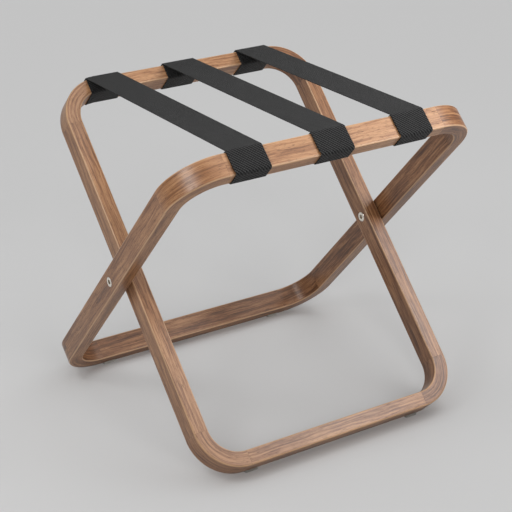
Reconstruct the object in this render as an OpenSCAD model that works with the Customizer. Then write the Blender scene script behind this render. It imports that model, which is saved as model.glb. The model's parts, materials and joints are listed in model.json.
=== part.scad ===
// Folding luggage rack: two rounded wooden loops crossed like an X, pinned
// together at the middle of their legs, with three webbing straps between the
// two top rails. Shown open. Millimetres, +X along the rails, -Y to the front,
// +Z up, origin on the floor under the middle of the rack.
//
// The outer loop leans to the front and the inner loop to the back. Each loop
// is drawn upright, centred on its pivot, with +Y towards its upper face, and
// is then leaned into place.

/* [Loops] */
// Outside width of the outer loop
outer_w = 452; // [452:2:480]
// Width of each bar, measured in the plane of its loop
bar_w = 21; // [20:0.5:21]
// Thickness of each bar, from the lower to the upper face of its loop
bar_t = 32; // [30:0.5:34]
// Radius along the long edges of the bars
edge_r = 2; // [1.5:0.5:3]
// Outside radius of the corners of the outer loop
outer_corner_r = 66; // [60:1:68]
// Outside radius of the corners of the inner loop
inner_corner_r = 61; // [56:1:61]
// Pivot to the outside of the top rail
leg_top = 288; // [270:1:300]
// Pivot to the outside of the bottom rail
leg_bottom = 292; // [270:1:300]
// Lean of each loop from upright when the rack is open
lean = 43.8; // [40:0.2:46]

/* [Corner dowels] */
// Diameter of a dowel
dowel_d = 8; // [6:1:8]
// Length of a dowel
dowel_len = 34; // [24:2:36]
// Distance between the two dowels of a joint
dowel_pitch = 14; // [12:1:16]

/* [Pivots] */
// Diameter of the flat screw heads
head_d = 14; // [13:0.5:16]
// Thickness of the flat screw heads
head_t = 1.8; // [1.4:0.2:2.4]
// Diameter of the screw shank
shank_d = 8; // [7.8:0.1:8.2]
// Outside diameter of the sleeve nut that the inner loop turns on
sleeve_d = 10.5; // [10.5:0.5:11.5]
// Key size of the hexagon sockets
hex_key = 6; // [4:0.5:6]
// Space between the legs of the two loops, which the washer fills
leg_gap = 3; // [2:0.5:3]
// Diameter of the washer between the legs
washer_d = 20; // [18:1:24]

/* [Glides] */
// Length of a glide along the rail
glide_len = 20; // [16:1:20]
// Width of a glide
glide_w = 7; // [6.5:0.5:8]
// Height that a glide holds the wood off the floor
glide_stand = 1.5; // [1.5:0.5:3]
// Middle of the rack to the middle of an outer loop's glide
outer_glide_x = 145; // [110:1:145]
// Middle of the rack to the middle of an inner loop's glide
inner_glide_x = 130; // [110:1:130]

/* [Straps] */
// Width of the webbing
strap_w = 50; // [38:1:50]
// Thickness of the webbing
strap_t = 1.6; // [1.2:0.1:2]
// Distance from strap to strap
strap_pitch = 121; // [100:1:121]
// Sideways shift of the three straps from the middle of the rack
strap_shift = -7; // [-9:1:-5]

/* [Hidden] */
$fn = 48;
// Running clearance of a pin in its hole, and of a glued dowel, per side
fit_gap = 0.05;
// Space kept between pieces that move past each other
move_gap = 0.3;
// Extra depth behind a dowel or a screw end
end_gap = 1;
inner_w = outer_w - 2 * (bar_w + leg_gap);
// Width and corner radius of each loop
outer = [outer_w, outer_corner_r];
inner = [inner_w, inner_corner_r];
// Height of the centre of a rounded edge above the floor, and of the pivot
low_edge_z = glide_stand + edge_r;
pivot_z = low_edge_z + (leg_bottom - edge_r) * cos(lean) + (bar_t / 2 - edge_r) * sin(lean);
low_edge_y = (leg_bottom - edge_r) * sin(lean) - (bar_t / 2 - edge_r) * cos(lean);
// Depth of the flat seat that a glide is nailed to, above the lowest wood
seat_depth = 2;
seat_z = glide_stand + seat_depth;
nail_d = 1.6;
nail_head_d = 4;
nail_head_t = 0.8;
nail_head_z = 0.7;
nail_len = 8;
// Centre line, in the loop, of the rounded edge that a strap leaves the rail on
strap_edge_y = bar_t / 2 - edge_r;
strap_edge_z = leg_top - edge_r;
strap_y = strap_edge_z * sin(lean) - strap_edge_y * cos(lean);
strap_z = pivot_z + strap_edge_z * cos(lean) + strap_edge_y * sin(lean);
// Lift that keeps a span just clear of the wrapped end below it
span_lift = 0.05;
// Start of a span past the middle of its rail's rounded edge: the left back
// wrap reaches 0.8 mm past it where it follows the corner down
span_start = 1.1;
staple_wire = 1;
staple_crown = 11;
staple_leg = 8;
staple_pitch = 24;

// ---- placing ----

module lean_outer() {
  translate([0, 0, pivot_z]) rotate([lean, 0, 0]) children();
}

module lean_inner() {
  mirror([0, 1, 0]) lean_outer() children();
}

module each_side() {
  children();
  mirror([1, 0, 0]) children();
}

// ---- wood ----

// Rectangle with rounded corners, centred
module rounded_rect(w, t, r) {
  square([w - 2 * r, t], center = true);
  square([w, t - 2 * r], center = true);
  for (x = [-1, 1], y = [-1, 1])
    translate([x * (w / 2 - r), y * (t / 2 - r)]) circle(r);
}

module bar_section() {
  rounded_rect(bar_w, bar_t, edge_r);
}

// Distance from the pivot to the outside of a loop's top or bottom rail
function reach(top) = top ? leg_top : leg_bottom;

module plain_rail(loop, top) {
  len = loop[0] - 2 * loop[1];
  mirror([0, 0, top ? 0 : 1])
    translate([-len / 2, 0, reach(top) - bar_w / 2]) rotate([0, 90, 0]) linear_extrude(len) bar_section();
}

// side is -1 for the left leg and 1 for the right one
module plain_leg(loop, side) {
  translate([side * (loop[0] - bar_w) / 2, 0, loop[1] - leg_bottom])
    linear_extrude(leg_top + leg_bottom - 2 * loop[1]) bar_section();
}

// Quarter ring between a leg and a rail
module plain_corner(loop, side, top) {
  mirror([side < 0 ? 1 : 0, 0, 0]) mirror([0, 0, top ? 0 : 1])
    translate([loop[0] / 2 - loop[1], 0, reach(top) - loop[1]])
      rotate([90, 0, 0]) rotate_extrude(angle = 90)
        translate([loop[1] - bar_w / 2, 0]) bar_section();
}

// Dowels of one loop: two across each of its eight bar ends
module dowels(loop, r, len) {
  each_side() for (top = [true, false]) mirror([0, 0, top ? 0 : 1])
    for (y = [-dowel_pitch / 2, dowel_pitch / 2]) {
      translate([(loop[0] - bar_w) / 2, y, reach(top) - loop[1]]) cylinder(r = r, h = len, center = true);
      translate([loop[0] / 2 - loop[1], y, reach(top) - bar_w / 2])
        rotate([0, 90, 0]) cylinder(r = r, h = len, center = true);
    }
}

module dowel_holes(loop) {
  dowels(loop, dowel_d / 2 + fit_gap, dowel_len + 2 * end_gap);
}

walnut = "#9c6a48";
walnut_dark = "#8a5a3c";

module top_rail(loop) {
  color(walnut) difference() {
    plain_rail(loop, true);
    dowel_holes(loop);
    staple_shape(staple_wire / 2 + fit_gap);
  }
}

module bottom_rail(loop, glide_x) {
  color(walnut) difference() {
    plain_rail(loop, false);
    dowel_holes(loop);
    unlean() glide_seats(glide_x);
  }
}

// Holes through an outer leg: sleeve nut, then screw, then a recess for the screw's head
module outer_leg(side) {
  color(walnut_dark) difference() {
    plain_leg(outer, side);
    dowel_holes(outer);
    mirror([side < 0 ? 1 : 0, 0, 0]) {
      along_pivot(outer_w / 2 - bar_w - end_gap, sleeve_end + end_gap) circle(sleeve_d / 2 + fit_gap);
      along_pivot(sleeve_end, outer_w / 2) circle(shank_d / 2 + fit_gap);
      along_pivot(outer_w / 2 - head_t, outer_w / 2 + end_gap) circle(head_d / 2 + fit_gap);
    }
  }
}

// Holes through an inner leg, which turns on the sleeve nut, with a recess for its head
module inner_leg(side) {
  color(walnut_dark) difference() {
    plain_leg(inner, side);
    dowel_holes(inner);
    mirror([side < 0 ? 1 : 0, 0, 0]) {
      along_pivot(sleeve_start, inner_w / 2 + end_gap) circle(sleeve_d / 2 + fit_gap);
      along_pivot(sleeve_start - end_gap, sleeve_start + head_t + move_gap) circle(head_d / 2 + move_gap);
    }
  }
}

module corner(loop, side, top) {
  color(walnut) difference() {
    plain_corner(loop, side, top);
    dowel_holes(loop);
    if (top) staple_shape(staple_wire / 2 + fit_gap);
  }
}

// ---- pivots ----

// Far end of the sleeve nut, half way through the outer leg
sleeve_end = outer_w / 2 - bar_w / 2;
// Inner face of the inner leg, where the sleeve nut's head lies flush
sleeve_start = inner_w / 2 - bar_w;
screw_start = sleeve_start + bar_w;
socket_depth = 4;
head_bevel = 0.4;

// Extrudes a 2D shape along X from one station to another
module along_pivot(from, to) {
  translate([from, 0, 0]) rotate([0, 90, 0]) linear_extrude(to - from) children();
}

module hex_socket() {
  circle(d = hex_key / cos(30), $fn = 6);
}

// Flat head with a bevelled rim, from its underside at 0 up to its face
module flat_head() {
  cylinder(d = head_d, h = head_t - head_bevel);
  translate([0, 0, head_t - head_bevel])
    cylinder(d1 = head_d, d2 = head_d - 2 * head_bevel, h = head_bevel);
}

module pivot_screw() {
  difference() {
    union() {
      translate([outer_w / 2 - head_t, 0, 0]) rotate([0, 90, 0]) flat_head();
      along_pivot(screw_start, outer_w / 2 - head_t) circle(d = shank_d);
    }
    along_pivot(outer_w / 2 - socket_depth, outer_w / 2 + end_gap) hex_socket();
  }
}

module pivot_sleeve_nut() {
  difference() {
    union() {
      translate([sleeve_start + head_t, 0, 0]) rotate([0, -90, 0]) flat_head();
      along_pivot(sleeve_start + head_t, sleeve_end) circle(d = sleeve_d);
    }
    along_pivot(screw_start - end_gap, sleeve_end + end_gap) circle(shank_d / 2 + fit_gap);
    along_pivot(sleeve_start - end_gap, sleeve_start + socket_depth) hex_socket();
  }
}

module pivot_washer() {
  difference() {
    along_pivot(inner_w / 2 + move_gap, inner_w / 2 + leg_gap) circle(d = washer_d);
    along_pivot(inner_w / 2, inner_w / 2 + leg_gap + end_gap) circle(sleeve_d / 2 + move_gap);
  }
}

// ---- glides ----

// Undoes lean_outer(), so that a shape can be cut level with the floor
module unlean() {
  rotate([-lean, 0, 0]) translate([0, 0, -pivot_z]) children();
}

module glide_outline() {
  square([glide_len - glide_w, glide_w], center = true);
  for (x = [-1, 1]) translate([x * (glide_len - glide_w) / 2, 0]) circle(d = glide_w);
}

// Level seats under the bottom rail, and the nail holes above them
module glide_seats(x) {
  each_side() translate([x, low_edge_y, 0]) {
    translate([-glide_len / 2 - move_gap, -bar_t, -bar_t])
      cube([glide_len + 2 * move_gap, 2 * bar_t, bar_t + seat_z]);
    cylinder(d = nail_d + 2 * fit_gap, h = nail_len + end_gap);
  }
}

module glide(x) {
  translate([x, low_edge_y, 0]) difference() {
    linear_extrude(seat_z) glide_outline();
    translate([0, 0, -end_gap]) cylinder(d = nail_d + 2 * fit_gap, h = seat_z + 2 * end_gap);
    translate([0, 0, -end_gap])
      cylinder(d = nail_head_d + 2 * fit_gap, h = end_gap + nail_head_z + nail_head_t);
  }
}

// The nail heads lie sunk in the glides, off the floor
module glide_nails(x) {
  each_side() translate([x, low_edge_y, nail_head_z]) {
    cylinder(d = nail_head_d, h = nail_head_t);
    cylinder(d = nail_d, h = nail_len - nail_head_z);
  }
}

// ---- straps ----

function strap_x(i) = strap_shift + i * strap_pitch;

// Section of a wrapped rail in the loop: X is the loop's Y, and Y its height
module rail_section(layers) {
  rounded_rect(bar_t + 2 * layers * strap_t, bar_w + 2 * layers * strap_t, edge_r + layers * strap_t);
}

// Part of the section where the strap lies over its own tucked end: from the
// level tangent on the upper edge, across the outside of the rail, to the
// lower edge
module double_layer_region() {
  edge_x = bar_t / 2 - edge_r;
  edge_y = bar_w / 2 - edge_r;
  far = bar_t;
  polygon([
    [edge_x, edge_y],
    [edge_x + far * sin(lean), edge_y + far * cos(lean)],
    [-edge_x - far, edge_y + far * cos(lean)],
    [-edge_x - far, edge_y],
    [-edge_x, edge_y]
  ]);
}

module wrap_section() {
  difference() {
    union() {
      rail_section(1);
      intersection() {
        rail_section(2);
        double_layer_region();
      }
    }
    rail_section(0);
  }
}

// Sweeps the wrap's section along a top rail, and along the corner at its left
// end, which the left strap's outer edge lies on
module wrapped_rail(loop) {
  straight = loop[0] / 2 - loop[1];
  translate([-straight, 0, leg_top - bar_w / 2])
    rotate([90, 0, 90]) linear_extrude(2 * straight) wrap_section();
  mirror([1, 0, 0]) translate([straight, 0, leg_top - loop[1]])
    rotate([90, 0, 0]) rotate_extrude(angle = 90)
      translate([loop[1] - bar_w / 2, 0]) rotate(-90) wrap_section();
}

module strap_wrap(loop, i) {
  color("#2b2b2c") difference() {
    intersection() {
      wrapped_rail(loop);
      translate([strap_x(i) - strap_w / 2, -bar_t, leg_top - loop[1]])
        cube([strap_w, 2 * bar_t, 2 * loop[1]]);
    }
    staple_shape(staple_wire / 2 + fit_gap);
  }
}

// Half of the taut span, from the front rail to the middle of the rack
module strap_front_half(i) {
  color("#3a3a3b")
    translate([strap_x(i) - strap_w / 2, span_start - strap_y, strap_z + edge_r + strap_t + span_lift])
      cube([strap_w, strap_y - span_start - move_gap / 2, strap_t]);
}

module strap_back_half(i) {
  mirror([0, 1, 0]) strap_front_half(i);
}

// Two staples through the tucked end of each strap, with their crowns between
// its two layers
module staple_shape(r) {
  crown_z = leg_top + strap_t;
  for (i = [-1, 0, 1], side = [-1, 1]) translate([strap_x(i) + side * staple_pitch / 2, 0, 0]) {
    translate([0, 0, crown_z]) rotate([0, 90, 0]) cylinder(r = r, h = staple_crown, center = true);
    for (end = [-1, 1]) translate([end * staple_crown / 2, 0, crown_z - staple_leg]) {
      cylinder(r = r, h = staple_leg);
      translate([0, 0, staple_leg]) sphere(r);
    }
  }
}

module staples() {
  color("silver") staple_shape(staple_wire / 2);
}

// ---- all pieces ----

lean_outer() top_rail(outer);  // outer_top_rail
lean_outer() bottom_rail(outer, outer_glide_x);  // outer_bottom_rail
lean_outer() outer_leg(-1);  // outer_left_leg
lean_outer() outer_leg(1);  // outer_right_leg
lean_outer() corner(outer, -1, true);  // outer_top_left_corner
lean_outer() corner(outer, 1, true);  // outer_top_right_corner
lean_outer() corner(outer, -1, false);  // outer_bottom_left_corner
lean_outer() corner(outer, 1, false);  // outer_bottom_right_corner
lean_inner() top_rail(inner);  // inner_top_rail
lean_inner() bottom_rail(inner, inner_glide_x);  // inner_bottom_rail
lean_inner() inner_leg(-1);  // inner_left_leg
lean_inner() inner_leg(1);  // inner_right_leg
lean_inner() corner(inner, -1, true);  // inner_top_left_corner
lean_inner() corner(inner, 1, true);  // inner_top_right_corner
lean_inner() corner(inner, -1, false);  // inner_bottom_left_corner
lean_inner() corner(inner, 1, false);  // inner_bottom_right_corner

color("burlywood") lean_outer() dowels(outer, dowel_d / 2, dowel_len);  // outer_corner_dowels
color("burlywood") lean_inner() dowels(inner, dowel_d / 2, dowel_len);  // inner_corner_dowels

color("silver") lean_outer() mirror([1, 0, 0]) pivot_screw();  // left_pivot_screw
color("silver") lean_outer() pivot_screw();  // right_pivot_screw
color("silver") lean_outer() mirror([1, 0, 0]) pivot_sleeve_nut();  // left_pivot_sleeve_nut
color("silver") lean_outer() pivot_sleeve_nut();  // right_pivot_sleeve_nut
color("dimgray") lean_outer() mirror([1, 0, 0]) pivot_washer();  // left_pivot_washer
color("dimgray") lean_outer() pivot_washer();  // right_pivot_washer

color("gainsboro") glide(-outer_glide_x);  // outer_left_glide
color("gainsboro") glide(outer_glide_x);  // outer_right_glide
color("gainsboro") mirror([0, 1, 0]) glide(-inner_glide_x);  // inner_left_glide
color("gainsboro") mirror([0, 1, 0]) glide(inner_glide_x);  // inner_right_glide
color("silver") glide_nails(outer_glide_x);  // outer_glide_nails
color("silver") mirror([0, 1, 0]) glide_nails(inner_glide_x);  // inner_glide_nails

lean_outer() strap_wrap(outer, -1);  // left_strap_front_wrap
lean_outer() strap_wrap(outer, 0);  // middle_strap_front_wrap
lean_outer() strap_wrap(outer, 1);  // right_strap_front_wrap
lean_inner() strap_wrap(inner, -1);  // left_strap_back_wrap
lean_inner() strap_wrap(inner, 0);  // middle_strap_back_wrap
lean_inner() strap_wrap(inner, 1);  // right_strap_back_wrap
strap_front_half(-1);  // left_strap_front_half
strap_front_half(0);  // middle_strap_front_half
strap_front_half(1);  // right_strap_front_half
strap_back_half(-1);  // left_strap_back_half
strap_back_half(0);  // middle_strap_back_half
strap_back_half(1);  // right_strap_back_half
lean_outer() staples();  // front_strap_staples
lean_inner() staples();  // back_strap_staples
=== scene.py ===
import json
import math
import random

import bpy
from mathutils import Matrix, Vector


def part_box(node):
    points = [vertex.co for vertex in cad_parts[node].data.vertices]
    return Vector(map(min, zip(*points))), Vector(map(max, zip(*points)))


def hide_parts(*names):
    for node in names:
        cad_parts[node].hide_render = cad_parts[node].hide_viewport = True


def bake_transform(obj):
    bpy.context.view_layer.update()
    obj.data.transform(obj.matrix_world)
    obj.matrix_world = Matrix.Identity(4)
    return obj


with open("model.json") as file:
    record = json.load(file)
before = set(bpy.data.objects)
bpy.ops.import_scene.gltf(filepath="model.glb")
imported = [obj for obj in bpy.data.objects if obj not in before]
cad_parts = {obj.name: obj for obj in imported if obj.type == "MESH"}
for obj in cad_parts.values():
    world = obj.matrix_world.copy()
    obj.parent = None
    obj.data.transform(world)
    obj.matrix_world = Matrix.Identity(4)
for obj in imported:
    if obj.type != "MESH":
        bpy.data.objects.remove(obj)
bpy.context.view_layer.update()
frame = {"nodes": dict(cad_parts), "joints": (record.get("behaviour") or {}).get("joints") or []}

# ---- sizes in metres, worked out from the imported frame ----

EDGE_R = 0.002  # rounding along the bars
STRAPS = ("left", "middle", "right")


def joint_place(name):
    """Where a joint's axis crosses the middle of the rack."""
    for joint in frame["joints"]:
        if joint["name"] == name:
            return Vector(joint["pos_m"])
    raise KeyError(name)


def box_middle(node):
    lo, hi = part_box(node)
    return (lo + hi) / 2


def box_size(node):
    lo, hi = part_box(node)
    return hi - lo


PIVOT = joint_place("fold")
top_rail_way = box_middle("outer_top_rail") - PIVOT
LEAN = math.atan2(-top_rail_way.y, top_rail_way.z)
RAIL_REACH = math.hypot(top_rail_way.y, top_rail_way.z)
BAR_W = box_size("outer_left_leg").x
STRAP_W = box_size("left_strap_front_half").x
STRAP_T = box_size("left_strap_front_half").z
rail_depth = box_size("outer_top_rail").y - 2 * EDGE_R
BAR_T = (rail_depth - (BAR_W - 2 * EDGE_R) * math.sin(LEAN)) / math.cos(LEAN) + 2 * EDGE_R

# Each loop: lean direction, outside half width, corner radius
LOOPS = {
    "outer": (-1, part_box("outer_right_leg")[1].x, box_size("outer_top_left_corner").x),
    "inner": (1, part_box("inner_right_leg")[1].x, box_size("inner_top_left_corner").x),
}


def loop_axes(loop):
    """Unit vectors of a loop: across its thickness (to its upper face) and up along its legs."""
    way = LOOPS[loop][0]
    across = Vector((0, -way * math.cos(LEAN), math.sin(LEAN)))
    up = Vector((0, way * math.sin(LEAN), math.cos(LEAN)))
    return across, up


# ---- node helpers ----

def new_material(name):
    """A material with an empty tree but for its Principled shader and output."""
    material = bpy.data.materials.new(name)
    material.use_nodes = True
    tree = material.node_tree
    tree.nodes.clear()
    output = tree.nodes.new("ShaderNodeOutputMaterial")
    shader = tree.nodes.new("ShaderNodeBsdfPrincipled")
    tree.links.new(shader.outputs["BSDF"], output.inputs["Surface"])
    return material, tree, shader


def add(tree, kind, inputs=None, **settings):
    """A node with its settings, and its sockets linked or set."""
    node = tree.nodes.new(kind)
    for key, value in settings.items():
        setattr(node, key, value)
    for key, value in (inputs or {}).items():
        if isinstance(value, bpy.types.NodeSocket):
            tree.links.new(value, node.inputs[key])
        else:
            node.inputs[key].default_value = value
    return node


def math_node(tree, operation, a, b=0.0):
    return add(tree, "ShaderNodeMath", {0: a, 1: b}, operation=operation).outputs[0]


def times_plus(tree, value, factor, offset):
    """value * factor + offset."""
    inputs = {0: value, 1: factor, 2: offset}
    return add(tree, "ShaderNodeMath", inputs, operation="MULTIPLY_ADD").outputs[0]


def scaled(tree, vector, scale):
    node = add(tree, "ShaderNodeVectorMath", {0: vector, 1: scale}, operation="MULTIPLY")
    return node.outputs["Vector"]


def moved(tree, vector, shift):
    node = add(tree, "ShaderNodeVectorMath", {0: vector, 1: shift}, operation="ADD")
    return node.outputs["Vector"]


def noise(tree, vector, scale, detail=3.0, rough=0.55):
    """Noise from 0 to 1, stretched by a scale per axis in features per metre."""
    node = add(tree, "ShaderNodeTexNoise", {
        "Vector": scaled(tree, vector, scale), "Scale": 1.0, "Detail": detail, "Roughness": rough,
    })
    return node.outputs["Fac"]


def ramp(tree, value, stops):
    """A colour ramp through (position, colour) stops."""
    node = add(tree, "ShaderNodeValToRGB", {"Fac": value})
    elements = node.color_ramp.elements
    while len(elements) < len(stops):
        elements.new(0.5)
    for element, (position, colour) in zip(elements, stops):
        element.position = position
        element.color = (*colour, 1)
    return node.outputs["Color"]


def span_map(tree, value, low, high, to_low=0.0, to_high=1.0):
    """A smooth step from to_low at low to to_high at high."""
    node = add(tree, "ShaderNodeMapRange", {
        "Value": value, "From Min": low, "From Max": high, "To Min": to_low, "To Max": to_high,
    }, interpolation_type="SMOOTHSTEP")
    return node.outputs["Result"]


def mixed(tree, factor, a, b):
    """Colour a at factor 0 and colour b at factor 1."""
    node = add(tree, "ShaderNodeMix", data_type="RGBA")
    for socket, value in ((node.inputs["Factor"], factor), (node.inputs[6], a), (node.inputs[7], b)):
        if isinstance(value, bpy.types.NodeSocket):
            tree.links.new(value, socket)
        elif socket.type == "RGBA":
            socket.default_value = (*value, 1)
        else:
            socket.default_value = value
    return node.outputs[2]


def bumped(tree, height, strength, distance):
    node = add(tree, "ShaderNodeBump", {"Height": height, "Strength": strength, "Distance": distance})
    return node.outputs["Normal"]


def set_material(node, material):
    for slot in frame["nodes"][node].material_slots:
        slot.link = "OBJECT"
        slot.material = material


# ---- walnut ----

RING_PITCH = 0.0052  # between growth rings
SEAM_REACH = 0.00018  # half width of a glue line, which fades over as much again
WEAR_AND_HIGHLIGHT_FROM = 0.45  # the lightening of the rounded edges, part wear and part painted highlight, is full from this share of the edge radius short of a face
# The seed is picked so that the pieces' random tones paint shade on the right-hand legs and bottom rails
# and light on the top rails
WOOD_SEED = 27704


def walnut_look():
    """Group: a point of a bar (along, in plane, through) to its colour, gloss and relief."""
    group = bpy.data.node_groups.new("walnut_look", "ShaderNodeTree")
    face = group.interface
    face.new_socket("Point", in_out="INPUT", socket_type="NodeSocketVector")
    face.new_socket("Edge", in_out="INPUT", socket_type="NodeSocketFloat")
    face.new_socket("Seam", in_out="INPUT", socket_type="NodeSocketFloat")
    face.new_socket("Shade", in_out="INPUT", socket_type="NodeSocketFloat")
    face.new_socket("Color", in_out="OUTPUT", socket_type="NodeSocketColor")
    face.new_socket("Roughness", in_out="OUTPUT", socket_type="NodeSocketFloat")
    face.new_socket("Height", in_out="OUTPUT", socket_type="NodeSocketFloat")
    entry = group.nodes.new("NodeGroupInput")
    out = group.nodes.new("NodeGroupOutput")
    point, edge, seam, shade = entry.outputs[:4]

    # The grain sways a little across the board instead of running dead straight
    sway = add(group, "ShaderNodeTexNoise", {
        "Vector": scaled(group, point, (14, 30, 30)), "Scale": 1.0, "Detail": 2.0,
    }).outputs["Color"]
    point = moved(group, point, scaled(group, sway, (0, 0.007, 0.007)))

    # Growth rings: slices of a slowly wandering distance through the board
    wander = noise(group, point, (4, 22, 22), 2.0)
    parts = add(group, "ShaderNodeSeparateXYZ", {0: point})
    board = math_node(group, "ADD", parts.outputs[1], math_node(group, "MULTIPLY", parts.outputs[2], 0.4))
    board = math_node(group, "ADD", board, math_node(group, "MULTIPLY", wander, 0.022))
    turns = math_node(group, "MULTIPLY", board, 2 * math.pi / RING_PITCH)
    rings = times_plus(group, math_node(group, "SINE", turns), 0.5, 0.5)

    broad = noise(group, point, (7, 80, 80), 3.0)
    fibre = noise(group, point, (45, 1300, 1300), 4.0, 0.65)
    streak = noise(group, point, (14, 460, 460), 4.0, 0.62)
    pores = span_map(group, noise(group, point, (130, 1250, 1250), 2.0), 0.575, 0.69)

    tone = math_node(group, "MULTIPLY", rings, 0.07)
    for layer, weight in ((broad, 0.46), (streak, 0.76), (fibre, 0.26)):
        tone = math_node(group, "ADD", tone, math_node(group, "MULTIPLY", layer, weight))
    tone = math_node(group, "ADD", tone, shade)
    colour = ramp(group, tone, [
        (0.51, (0.080, 0.029, 0.011)),
        (0.65, (0.205, 0.083, 0.032)),
        (0.77, (0.340, 0.157, 0.067)),
        (0.91, (0.480, 0.250, 0.117)),
    ])
    colour = mixed(group, math_node(group, "MULTIPLY", pores, 0.60), colour, (0.050, 0.018, 0.007))
    # The rounded edges are lightened, partly as wear from handling and partly as a painted highlight along
    # them; a glue line darkens each joint
    colour = mixed(group, math_node(group, "MULTIPLY", edge, 0.75), colour, (0.66, 0.42, 0.25))
    colour = mixed(group, math_node(group, "MULTIPLY", seam, 0.25), colour, (0.060, 0.026, 0.013))

    gloss = times_plus(group, fibre, 0.16, 0.36)
    gloss = math_node(group, "ADD", gloss, math_node(group, "MULTIPLY", pores, 0.18))
    relief = math_node(group, "SUBTRACT", math_node(group, "MULTIPLY", fibre, 0.35), pores)
    relief = math_node(group, "SUBTRACT", relief, math_node(group, "MULTIPLY", seam, 2.0))
    for socket, value in zip(out.inputs, (colour, gloss, relief)):
        group.links.new(value, socket)
    return group


def straight_point(tree, local, along_x):
    """(along, in plane, through) of a straight bar from (x, through, up) of its loop."""
    parts = add(tree, "ShaderNodeSeparateXYZ", {0: local})
    x, through, up = parts.outputs
    first, second = (x, up) if along_x else (up, x)
    return first, second, through


def curved_point(tree, local, centre_x, centre_up, radius):
    """(along, in plane, through) of a corner, following its curve."""
    parts = add(tree, "ShaderNodeSeparateXYZ", {0: local})
    x, through, up = parts.outputs
    dx = math_node(tree, "ABSOLUTE", math_node(tree, "SUBTRACT", x, centre_x))
    du = math_node(tree, "ABSOLUTE", math_node(tree, "SUBTRACT", up, centre_up))
    angle = math_node(tree, "ARCTAN2", du, dx)
    reach = math_node(tree, "SQRT", math_node(tree, "ADD", math_node(tree, "MULTIPLY", dx, dx),
                                              math_node(tree, "MULTIPLY", du, du)))
    return math_node(tree, "MULTIPLY", angle, radius), reach, through


def glue_line(tree, value, place):
    """1 on the glue line of a joint, where value is close to place."""
    away = math_node(tree, "ABSOLUTE", math_node(tree, "SUBTRACT", value, place))
    return span_map(tree, away, SEAM_REACH, SEAM_REACH * 2, 1.0, 0.0)


def edge_mask(tree, second, second_middle, through):
    """1 on the rounded long edges of a bar, where wear and a painted highlight lighten the colour."""
    a = math_node(tree, "ABSOLUTE", math_node(tree, "SUBTRACT", second, second_middle))
    b = math_node(tree, "ABSOLUTE", through)
    a = span_map(tree, a, BAR_W / 2 - EDGE_R, BAR_W / 2 - EDGE_R * WEAR_AND_HIGHLIGHT_FROM)
    b = span_map(tree, b, BAR_T / 2 - EDGE_R, BAR_T / 2 - EDGE_R * WEAR_AND_HIGHLIGHT_FROM)
    return math_node(tree, "MULTIPLY", a, b)


def walnut(look, node, seed):
    """The walnut of one bar or corner, with its grain along it."""
    material, tree, shader = new_material("walnut_" + node)
    loop, kind = node.split("_", 1)
    way, half_w, corner_r = LOOPS[loop]
    place = add(tree, "ShaderNodeTexCoord").outputs["Object"]
    turn = Matrix.Rotation(way * LEAN, 3, "X")
    local = add(tree, "ShaderNodeMapping", {
        "Vector": place, "Location": -(turn @ PIVOT), "Rotation": (way * LEAN, 0, 0),
    }).outputs["Vector"]
    top = 1 if "top" in kind else -1
    across, up = loop_axes(loop)
    reach_top = (box_middle(loop + "_top_rail") - PIVOT).dot(up) + BAR_W / 2
    reach_low = (box_middle(loop + "_bottom_rail") - PIVOT).dot(up) - BAR_W / 2
    reach = reach_top if top > 0 else reach_low
    if kind.endswith("corner"):
        side = 1 if "right" in kind else -1
        centre_x = side * (half_w - corner_r)
        centre_up = reach - top * corner_r
        middle_r = corner_r - BAR_W / 2
        first, second, through = curved_point(tree, local, centre_x, centre_up, middle_r)
        edge = edge_mask(tree, second, middle_r, through)
        seam = math_node(tree, "MAXIMUM", glue_line(tree, first, 0.0),
                         glue_line(tree, first, middle_r * math.pi / 2))
    elif kind.endswith("rail"):
        first, second, through = straight_point(tree, local, True)
        edge = edge_mask(tree, second, reach - top * BAR_W / 2, through)
        end = math_node(tree, "ABSOLUTE", first)
        seam = glue_line(tree, end, half_w - corner_r)
    else:
        side = 1 if "right" in kind else -1
        first, second, through = straight_point(tree, local, False)
        edge = edge_mask(tree, second, side * (half_w - BAR_W / 2), through)
        seam = math_node(tree, "MAXIMUM", glue_line(tree, first, reach_top - corner_r),
                         glue_line(tree, first, reach_low + corner_r))
    point = add(tree, "ShaderNodeCombineXYZ", {0: first, 1: second, 2: through}).outputs[0]
    draw = random.Random(seed)
    shift = Vector((draw.uniform(0, 5), draw.uniform(0, 5), draw.uniform(0, 5)))
    point = moved(tree, point, shift)
    grain = add(tree, "ShaderNodeGroup", node_tree=look)
    for socket, value in zip(grain.inputs, (point, edge, seam)):
        tree.links.new(value, socket)
    # Each piece has its own tone, and the corner blocks are a little darker than the bars. The seed is
    # picked so that these tones also paint shade and light: darker on the right-hand legs and bottom
    # rails, which stand in shade, and lighter on the top rails, where light falls
    darker = 0.03 if kind.endswith("corner") else 0.0
    grain.inputs["Shade"].default_value = draw.uniform(-0.10, 0.05) - darker
    tree.links.new(grain.outputs["Color"], shader.inputs["Base Color"])
    tree.links.new(grain.outputs["Roughness"], shader.inputs["Roughness"])
    tree.links.new(bumped(tree, grain.outputs["Height"], 0.35, 0.0002), shader.inputs["Normal"])
    shader.inputs["Specular IOR Level"].default_value = 0.38
    shader.inputs["Coat Weight"].default_value = 0.32
    shader.inputs["Coat Roughness"].default_value = 0.28
    return material


def dress_wood():
    look = walnut_look()
    kinds = ("top_rail", "bottom_rail", "left_leg", "right_leg", "top_left_corner",
             "top_right_corner", "bottom_left_corner", "bottom_right_corner")
    nodes = [loop + "_" + kind for loop in LOOPS for kind in kinds]
    for seed, node in enumerate(nodes, WOOD_SEED):
        set_material(node, walnut(look, node, seed))


# ---- metal and plastic ----

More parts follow.
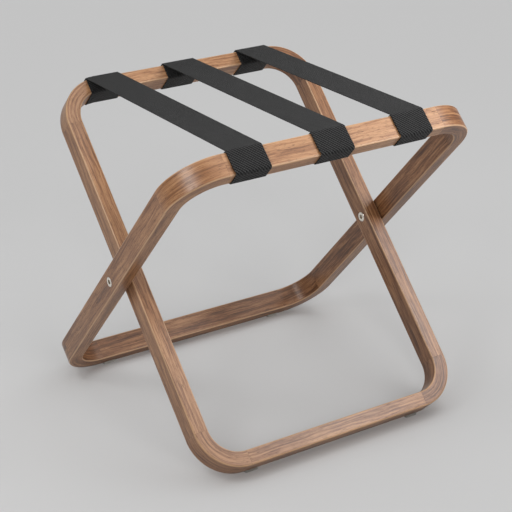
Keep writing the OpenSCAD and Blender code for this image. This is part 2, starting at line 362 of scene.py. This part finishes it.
def nickel():
    material, tree, shader = new_material("satin_nickel")
    place = add(tree, "ShaderNodeTexCoord").outputs["Object"]
    fine = noise(tree, place, (2600, 2600, 2600), 2.0)
    cloud = noise(tree, place, (210, 210, 210), 2.0)
    tree.links.new(ramp(tree, cloud, [(0.3, (0.80, 0.74, 0.66)), (0.7, (0.92, 0.87, 0.79))]),
                   shader.inputs["Base Color"])
    tree.links.new(span_map(tree, fine, 0.3, 0.7, 0.22, 0.36), shader.inputs["Roughness"])
    tree.links.new(bumped(tree, fine, 0.12, 0.00005), shader.inputs["Normal"])
    shader.inputs["Metallic"].default_value = 1.0
    return material


def zinc():
    material, tree, shader = new_material("zinc_wire")
    place = add(tree, "ShaderNodeTexCoord").outputs["Object"]
    cloud = noise(tree, place, (900, 900, 900), 2.0)
    tree.links.new(ramp(tree, cloud, [(0.3, (0.46, 0.47, 0.49)), (0.7, (0.62, 0.63, 0.66))]),
                   shader.inputs["Base Color"])
    tree.links.new(span_map(tree, cloud, 0.3, 0.7, 0.30, 0.46), shader.inputs["Roughness"])
    shader.inputs["Metallic"].default_value = 1.0
    return material


def plain_plastic(name, dark, light, rough):
    """Moulded plastic with a fine sparked texture."""
    material, tree, shader = new_material(name)
    place = add(tree, "ShaderNodeTexCoord").outputs["Object"]
    spark = noise(tree, place, (1800, 1800, 1800), 3.0)
    cloud = noise(tree, place, (120, 120, 120), 2.0)
    tree.links.new(ramp(tree, cloud, [(0.3, dark), (0.7, light)]), shader.inputs["Base Color"])
    tree.links.new(span_map(tree, spark, 0.3, 0.7, rough - 0.08, rough + 0.08), shader.inputs["Roughness"])
    tree.links.new(bumped(tree, spark, 0.25, 0.0001), shader.inputs["Normal"])
    return material


def dowel_wood():
    material, tree, shader = new_material("beech_dowel")
    place = add(tree, "ShaderNodeTexCoord").outputs["Object"]
    fleck = noise(tree, place, (400, 400, 400), 3.0)
    tree.links.new(ramp(tree, fleck, [(0.3, (0.52, 0.33, 0.19)), (0.7, (0.68, 0.47, 0.29))]),
                   shader.inputs["Base Color"])
    shader.inputs["Roughness"].default_value = 0.6
    return material


def dress_fittings():
    steel, wire, beech = nickel(), zinc(), dowel_wood()
    glide = plain_plastic("glide_plastic", (0.42, 0.41, 0.38), (0.50, 0.49, 0.45), 0.45)
    washer = plain_plastic("nylon_washer", (0.020, 0.018, 0.016), (0.035, 0.031, 0.028), 0.5)
    for side in ("left", "right"):
        set_material(side + "_pivot_screw", steel)
        set_material(side + "_pivot_sleeve_nut", steel)
        set_material(side + "_pivot_washer", washer)
        for loop in LOOPS:
            set_material(f"{loop}_{side}_glide", glide)
    for loop in LOOPS:
        set_material(loop + "_glide_nails", wire)
        set_material(loop + "_corner_dowels", beech)
    set_material("front_strap_staples", wire)
    set_material("back_strap_staples", wire)


# ---- webbing ----

RIB_PITCH = 0.0043  # between twill ribs, along the webbing
YARN_PITCH = 0.0021  # between yarns, across it
TWILL_HEIGHT = 0.00045  # of the bump
FUZZ_SHARE = 0.35  # part in the colour, beside 1 for the twill
PATCH_SHARE = 0.3

FIRST_STEP = 0.0002  # from the join of the two halves
FINE_SPAN = 0.022  # part of the free span next to the rail that is stepped finely
FREE_SPAN = 0.030  # from the rail to where a wrap on a corner is straight again
TUCK_LEFT = 0.003  # from the tucked end to the centre of the rail's far rounded edge
SPAN_STEP = 0.004  # between the mesh's rings on the free span
FINE_STEP = 0.0008  # on its fine part
WRAP_STEP = 0.0025  # on the rail's flat faces
LAYER_GAP = 0.00006  # taken off the half thickness so that wound layers stay apart
SELVEDGE_DIP = 0.0016  # from the round edge to the thinner line inside it
SELVEDGE_W = 0.0030  # from the round edge to the full thickness
SELVEDGE_THIN = 0.90  # share of the thickness left on that thinner line


def webbing():
    """Dense black webbing: diagonal twill ribs broken into yarns, from the UVs in metres."""
    material, tree, shader = new_material("black_webbing")
    uv = add(tree, "ShaderNodeUVMap", uv_map="weave").outputs["UV"]
    parts = add(tree, "ShaderNodeSeparateXYZ", {0: uv})
    along, across = parts.outputs[0], parts.outputs[1]
    diagonal = math_node(tree, "SUBTRACT", along, across)
    rib = math_node(tree, "SINE", math_node(tree, "MULTIPLY", diagonal, 2 * math.pi / RIB_PITCH))
    yarn = math_node(tree, "SINE", math_node(tree, "MULTIPLY", across, 2 * math.pi / YARN_PITCH))
    weave = math_node(tree, "ADD", rib, math_node(tree, "MULTIPLY", yarn, 0.6))
    fuzz = noise(tree, uv, (1500, 1500, 1), 2.0)
    patch = noise(tree, uv, (28, 60, 1), 2.0)
    level = span_map(tree, weave, -1.3, 1.3)
    for layer, share in ((fuzz, FUZZ_SHARE), (patch, PATCH_SHARE)):
        level = math_node(tree, "ADD", level, math_node(tree, "MULTIPLY", layer, share))
    level = math_node(tree, "MULTIPLY", level, 1 / (1 + FUZZ_SHARE + PATCH_SHARE))
    # The colour follows the weave: painted shade in the gaps between the ribs and a painted sheen on their
    # crests, with random fuzz and patches besides
    tree.links.new(ramp(tree, level, [
        (0.20, (0.004, 0.004, 0.0041)),
        (0.50, (0.012, 0.012, 0.0121)),
        (0.82, (0.047, 0.047, 0.0472)),
    ]), shader.inputs["Base Color"])
    height = math_node(tree, "ADD", weave, math_node(tree, "MULTIPLY", fuzz, 0.6))
    tree.links.new(bumped(tree, height, 0.9, TWILL_HEIGHT), shader.inputs["Normal"])
    shader.inputs["Roughness"].default_value = 0.8
    shader.inputs["Specular IOR Level"].default_value = 0.16
    shader.inputs["Sheen Weight"].default_value = 0.09
    shader.inputs["Sheen Roughness"].default_value = 0.5
    return material


def arc(centre, radius_from, radius_to, angle_from, angle_to, steps):
    """Points of an arc whose radius may change, as (through, up) pairs, without its first point."""
    points = []
    for k in range(1, steps + 1):
        t = k / steps
        angle = angle_from + (angle_to - angle_from) * t
        radius = radius_from + (radius_to - radius_from) * t
        points.append((centre[0] + radius * math.cos(angle), centre[1] + radius * math.sin(angle)))
    return points


def line(start, end, step):
    """Points from start to end, without the first."""
    length = math.dist(start, end)
    count = max(1, round(length / step))
    return [tuple(a + (b - a) * k / count for a, b in zip(start, end)) for k in range(1, count + 1)]


def strap_path():
    """Centre line of half a strap as (through, up) pairs of its loop: from the middle of the rack
    to the rail, once round it, and under itself to the tucked end."""
    hold_x, hold_y = BAR_T / 2 - EDGE_R, BAR_W / 2 - EDGE_R
    low, high = EDGE_R + STRAP_T / 2, EDGE_R + 1.5 * STRAP_T
    corners = [(hold_x, RAIL_REACH + hold_y), (-hold_x, RAIL_REACH + hold_y),
               (-hold_x, RAIL_REACH - hold_y), (hold_x, RAIL_REACH - hold_y)]
    right = math.pi / 2
    # In the loop's plane the level span runs down to the rail at this angle
    level = right - LEAN
    first = corners[0]
    leave = (first[0] + high * math.cos(level), first[1] + high * math.sin(level))
    span = abs(first[1] * math.sin(LEAN) - first[0] * math.cos(LEAN))
    middle = (leave[0] + span * math.cos(level - right), leave[1] + span * math.sin(level - right))
    near_rail = tuple(a + (b - a) * FINE_SPAN / span for a, b in zip(leave, middle))
    # A short first step keeps the shading flat up to the join of the two halves
    points = [middle, tuple(a + (b - a) * FIRST_STEP / span for a, b in zip(middle, near_rail))]
    points += line(points[-1], near_rail, SPAN_STEP)
    points += line(near_rail, leave, FINE_STEP)
    points += arc(first, high, high, level, right, 6)
    points += line(points[-1], (corners[1][0], corners[1][1] + high), WRAP_STEP)
    points += arc(corners[1], high, low, right, 2 * right, 10)
    points += line(points[-1], (corners[2][0] - low, corners[2][1]), WRAP_STEP)
    points += arc(corners[2], low, low, 2 * right, 3 * right, 8)
    points += line(points[-1], (corners[3][0], corners[3][1] - low), WRAP_STEP)
    points += arc(corners[3], low, low, 3 * right, 4 * right, 8)
    points += line(points[-1], (first[0] + low, first[1]), WRAP_STEP)
    points += arc(first, low, low, 0, right, 8)
    points += line(points[-1], (-hold_x + TUCK_LEFT, first[1] + low), WRAP_STEP)
    return points


def corner_drop(loop, place, across, up):
    """How far a point of a wrap moves down to follow its rail past the start of a corner."""
    _, half_w, corner_r = LOOPS[loop]
    past = abs(place.x) - (half_w - corner_r)
    through, rise = (place - PIVOT).dot(across), (place - PIVOT).dot(up)
    radius = corner_r + rise - (RAIL_REACH + BAR_W / 2)
    if past <= 0 or radius <= past:
        return 0.0
    # 0 at the rail and 1 where the free span is straight again
    free = (through - BAR_T / 2 - STRAP_T) / FREE_SPAN
    return (radius - math.sqrt(radius ** 2 - past ** 2)) * max(0.0, min(1.0, 1 - free)) ** 2


def webbing_section():
    """Half-thickness at places across the webbing: full in the middle, round at the woven edges."""
    half, thick = STRAP_W / 2, STRAP_T / 2 - LAYER_GAP
    places = [(-half + thick * (1 - math.cos(math.pi / 2 * k / 4)), thick * math.sin(math.pi / 2 * k / 4))
              for k in range(5)]
    inner = [(-half + thick + SELVEDGE_DIP, thick * SELVEDGE_THIN),
             (-half + thick + SELVEDGE_W, thick)]
    middle = [(-half * 0.5, thick), (0.0, thick)]
    left = places + inner + middle
    return left + [(-x, t) for x, t in reversed(left[:-1])]


def strap_rings(loop, centre_x):
    """Rings of (place, x across) round half a strap, each with its run along the webbing."""
    across, up = loop_axes(loop)
    path = strap_path()
    section = webbing_section()
    section += [(x, -t) for x, t in reversed(section[1:-1])]
    rings, run = [], 0.0
    for i, (through, rise) in enumerate(path):
        before, after = path[max(i - 1, 0)], path[min(i + 1, len(path) - 1)]
        step = Vector((after[0] - before[0], after[1] - before[1])).normalized()
        out = Vector((step.y, -step.x))
        if i:
            run += math.dist(path[i - 1], path[i])
        base = PIVOT + across * through + up * rise
        normal = across * out.x + up * out.y
        ring = []
        for x, t in section:
            place = Vector((centre_x + x, 0, 0)) + base + normal * t
            ring.append((place - up * corner_drop(loop, place, across, up), x))
        rings.append((ring, run))
    return rings


def strap_faces(rings, sign):
    """Faces that join the rings and close both ends, and their UVs: the caps come last."""
    count = len(rings[0][0])
    faces, uvs = [], []
    for i in range(len(rings) - 1):
        for k in range(count):
            after = (k + 1) % count
            a, b = i * count + k, i * count + after
            faces.append((a, b, b + count, a + count))
            xa, xb = rings[i][0][k][1], rings[i][0][after][1]
            ua, ub = sign * rings[i][1], sign * rings[i + 1][1]
            uvs.append(((ua, xa), (ua, xb), (ub, xb), (ub, xa)))
    for i, flip in ((0, True), (len(rings) - 1, False)):
        cap = [i * count + k for k in range(count)]
        faces.append(tuple(reversed(cap)) if flip else tuple(cap))
        uv = [(sign * rings[i][1], x) for _, x in rings[i][0]]
        uvs.append(tuple(reversed(uv)) if flip else tuple(uv))
    return faces, uvs


def strap_mesh(name, rings, front):
    """The closed mesh of half a strap, smooth but for its two end caps."""
    faces, uvs = strap_faces(rings, 1 if front else -1)
    if front:
        faces = [tuple(reversed(face)) for face in faces]
        uvs = [tuple(reversed(uv)) for uv in uvs]
    mesh = bpy.data.meshes.new(name)
    mesh.from_pydata([place for ring, _ in rings for place, _ in ring], [], faces)
    layer = mesh.uv_layers.new(name="weave")
    layer.data.foreach_set("uv", [c for face in uvs for corner in face for c in corner])
    mesh.polygons.foreach_set("use_smooth", [True] * (len(faces) - 2) + [False] * 2)
    mesh.update()
    return mesh


def strap_half(side, front, material):
    """Front or back half of one strap, wrapped round its rail, as one strip of webbing."""
    loop = "outer" if front else "inner"
    ends = "front" if front else "back"
    name = f"{side}_strap_{ends}"
    rings = strap_rings(loop, box_middle(side + "_strap_front_half").x)
    mesh = strap_mesh(name, rings, front)
    mesh.materials.append(material)
    strap = bpy.data.objects.new(name, mesh)
    bpy.context.scene.collection.objects.link(strap)
    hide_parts(f"{side}_strap_{ends}_wrap", f"{side}_strap_{ends}_half")
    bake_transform(strap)


def make_straps():
    material = webbing()
    for side in STRAPS:
        strap_half(side, True, material)
        strap_half(side, False, material)


# ---- studio ----

FAR_REACH = 3  # any distance does for a far light
FLOOR_REACH = 30


def make_camera():
    """Camera at the left front, a little above the rack."""
    azimuth, elevation, roll = -0.5483, 0.4031, -0.0221
    distance, focal = 2.0675, 104.26
    target = Vector((0.0014, 0.0, 0.2045))
    back = Vector((math.sin(azimuth) * math.cos(elevation), -math.cos(azimuth) * math.cos(elevation),
                   math.sin(elevation)))
    data = bpy.data.cameras.new("camera")
    data.sensor_width = 36
    data.lens = focal
    camera = bpy.data.objects.new("camera", data)
    camera.location = target + back * distance
    aim = (-back).to_track_quat("-Z", "Y").to_matrix() @ Matrix.Rotation(roll, 3, "Z")
    camera.rotation_euler = aim.to_euler()
    bpy.context.scene.collection.objects.link(camera)
    bpy.context.scene.camera = camera


def aimed(light, azimuth, elevation, reach, centre):
    """Puts a light at an azimuth (0 in front, 90 right) and elevation from a centre, facing it."""
    turn, rise = math.radians(azimuth), math.radians(elevation)
    way = Vector((math.sin(turn) * math.cos(rise), -math.cos(turn) * math.cos(rise), math.sin(rise)))
    light.location = Vector(centre) + way * reach
    light.rotation_euler = way.to_track_quat("Z", "Y").to_euler()
    bpy.context.scene.collection.objects.link(light)
    return light


def soft_box(name, azimuth, elevation, reach, size, watts, centre):
    """A rectangular light, reach metres from the centre that it faces."""
    data = bpy.data.lights.new(name, "AREA")
    data.shape = "RECTANGLE"
    data.size, data.size_y = size
    data.energy = watts
    return aimed(bpy.data.objects.new(name, data), azimuth, elevation, reach, centre)


def far_light(name, azimuth, elevation, spread, strength):
    """A light from far away, as soft as its spread in degrees."""
    data = bpy.data.lights.new(name, "SUN")
    data.energy = strength
    data.angle = math.radians(spread)
    return aimed(bpy.data.objects.new(name, data), azimuth, elevation, FAR_REACH, (0, 0, 0))


def make_floor():
    """A pale matt floor that reaches the horizon."""
    mesh = bpy.data.meshes.new("floor")
    signs = ((-1, -1), (1, -1), (1, 1), (-1, 1))
    mesh.from_pydata([(x * FLOOR_REACH, y * FLOOR_REACH, 0) for x, y in signs], [], [(0, 1, 2, 3)])
    floor = bpy.data.objects.new("floor", mesh)
    bpy.context.scene.collection.objects.link(floor)
    material, _, shader = new_material("pale_floor")
    shader.inputs["Base Color"].default_value = (0.62, 0.62, 0.62, 1)
    shader.inputs["Roughness"].default_value = 0.9
    shader.inputs["Specular IOR Level"].default_value = 0.1
    mesh.materials.append(material)
    return floor


def link_light(light, floor, only):
    """Makes a light fall on the floor alone, or on everything but the floor."""
    receivers = bpy.data.collections.new(light.name + "_falls_on")
    receivers.objects.link(floor)
    receivers.collection_objects[0].light_linking.link_state = "INCLUDE" if only else "EXCLUDE"
    light.light_linking.receiver_collection = receivers


def make_studio():
    """Pale floor, a dim even surround, and lights of its own for the floor and for the rack."""
    floor = make_floor()
    world = bpy.data.worlds.new("surround")
    bpy.context.scene.world = world
    world.use_nodes = True
    background = world.node_tree.nodes["Background"]
    background.inputs["Color"].default_value = (1, 1, 1, 1)
    background.inputs["Strength"].default_value = 0.2
    # The rack's near lights would make the floor uneven, so it has its own
    floor_lights = [
        far_light("floor_wash", 0, 90, 120, 1.64),
        far_light("floor_front", 0, 20, 28, 0.68),
        far_light("floor_front_left", 330, 30, 16, 0.53),
        soft_box("floor_left", 277, 53, 1.33, (0.25, 0.25), 1.64, (0, 0, 0)),
        soft_box("floor_right", 72, 63, 1.06, (0.35, 0.35), 0.63, (0, 0, 0)),
    ]
    rack_lights = [
        far_light("fill", 45, 45, 28, 0.3),
        soft_box("key", 40, 35, 0.9, (0.45, 0.45), 6.6, (0.12, -0.08, 0.36)),
        soft_box("top_soft", 0, 80, 0.9, (0.45, 0.45), 2.7, (0, -0.08, 0.36)),
        soft_box("left_strip", 278, 40, 0.9, (0.2, 0.44), 4.1, (-0.17, -0.19, 0.43)),
    ]
    for light in floor_lights:
        link_light(light, floor, True)
    for light in rack_lights:
        link_light(light, floor, False)
    bpy.context.scene.view_settings.view_transform = "Standard"


# ---- assembly ----

make_camera()
dress_wood()
dress_fittings()
make_straps()
make_studio()
